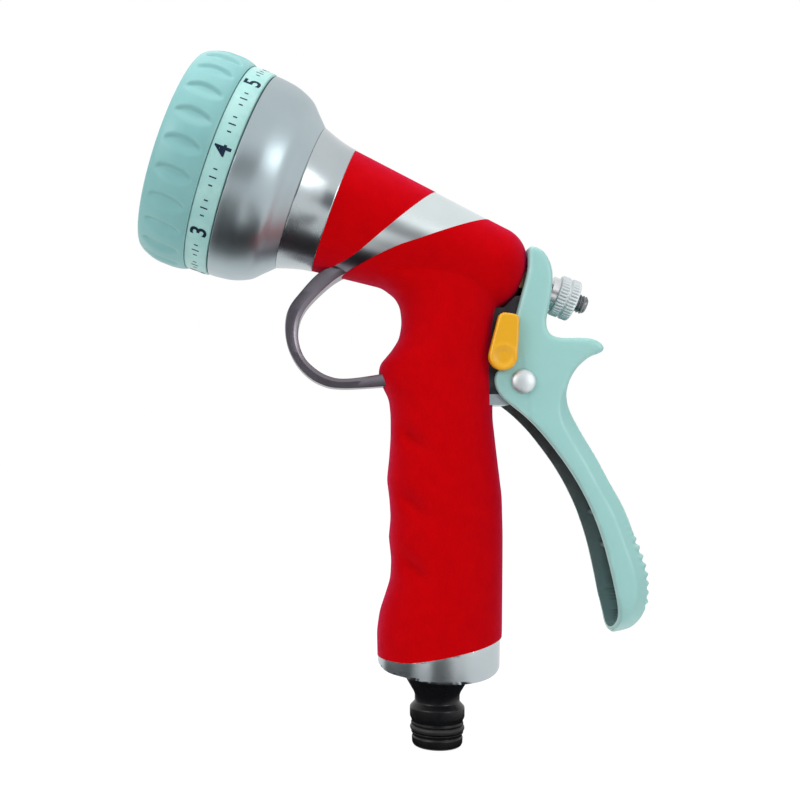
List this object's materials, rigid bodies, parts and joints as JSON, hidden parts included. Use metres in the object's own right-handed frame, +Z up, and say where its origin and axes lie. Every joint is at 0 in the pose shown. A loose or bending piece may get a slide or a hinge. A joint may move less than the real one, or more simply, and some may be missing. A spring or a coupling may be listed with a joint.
{
  "type": "garden hose spray gun",
  "caption": "Pistol-grip hose spray gun with a turning multi-pattern head, rear squeeze lever, valve stem with flow nut, lever lock, knuckle guard and click-in hose plug.",
  "frame": {"origin": "centre of the hose plug's tip, at the mouth of its bore", "axes": "+Z up the plug and the handle, the barrel points towards -X and 20.6 degrees up, +Y across the gun"},
  "size_m": [0.1553, 0.067, 0.2147],
  "materials": {
    "cast_metal": "satin polished casting with soft vertical brushing",
    "red_rubber": "soft-touch rubber, fine grain, low sheen",
    "teal_plastic": "semi-gloss moulded plastic",
    "yellow_plastic": "semi-gloss moulded plastic",
    "black_plastic": "smooth moulded plastic",
    "seal_rubber": "plain seal rubber",
    "brass": "turned",
    "steel": "plated, turned or drawn",
    "pale_plastic": "plain moulded plastic"
  },
  "bodies": {
    "body": {"body_casting": "cast_metal", "head_bell": "cast_metal", "guard_band": "cast_metal", "barrel_sleeve": "red_rubber", "handle_grip": "red_rubber", "base_ring": "cast_metal", "hose_plug": "black_plastic", "plug_o_ring": "seal_rubber", "inlet_filter": "steel", "gland_nut": "brass", "gland_seal": "seal_rubber", "gland_washer": "steel", "valve_seat": "brass", "outlet_bush": "brass", "diverter_plate": "pale_plastic", "diverter_seal": "seal_rubber", "detent_ball": "steel", "detent_spring": "steel", "pivot_rivet": "steel", "pivot_washers": "steel", "return_spring": "steel"},
    "dial": {"dial_grip_ring": "teal_plastic", "label_band": "teal_plastic", "spray_face": "teal_plastic", "chamber_plate": "pale_plastic", "dial_seal": "seal_rubber", "dial_screw": "steel"},
    "lever": {"squeeze_lever": "teal_plastic"},
    "stem": {"valve_stem": "steel", "plunger": "brass", "plunger_seal": "seal_rubber"},
    "collar": {"nut_collar": "steel"},
    "nut": {"flow_nut": "steel"},
    "lock": {"lock_tab": "yellow_plastic", "lock_pin": "steel", "lock_clip": "steel"}
  },
  "joints": [
    {"name": "dial_spin", "type": "hinge", "parent": "body", "child": "dial", "pos_m": [0, 0, 0.1545], "axis": [-0.9361, 0, 0.3518], "continuous": true},
    {"name": "lever_squeeze", "type": "hinge", "parent": "body", "child": "lever", "pos_m": [0.025, 0, 0.113], "axis": [0, 1, 0], "range_deg": [0, 14], "stiffness_Nm_per_rad": 0.6, "springref_deg": -17.19},
    {"name": "stem_slide", "type": "slide", "parent": "body", "child": "stem", "axis": [0.9361, 0, -0.3518], "range_m": [0, 0.0062], "deforming": ["return_spring"]},
    {"name": "nut_travel", "type": "slide", "parent": "stem", "child": "collar", "axis": [0.9361, 0, -0.3518], "range_m": [0, 0.00201]},
    {"name": "nut_turn", "type": "hinge", "parent": "collar", "child": "nut", "pos_m": [0, 0, 0.1545], "axis": [0.9361, 0, -0.3518], "range_deg": [0, 720]},
    {"name": "lock_turn", "type": "hinge", "parent": "body", "child": "lock", "pos_m": [0.0184, 0, 0.1205], "axis": [0, 1, 0], "range_deg": [0, 60]}
  ],
  "couplings": [
    {"joint": "stem_slide", "follows": "lever_squeeze", "m_per_rad": 0.025},
    {"joint": "nut_travel", "follows": "nut_turn", "m_per_rad": 0.00015915}
  ]
}
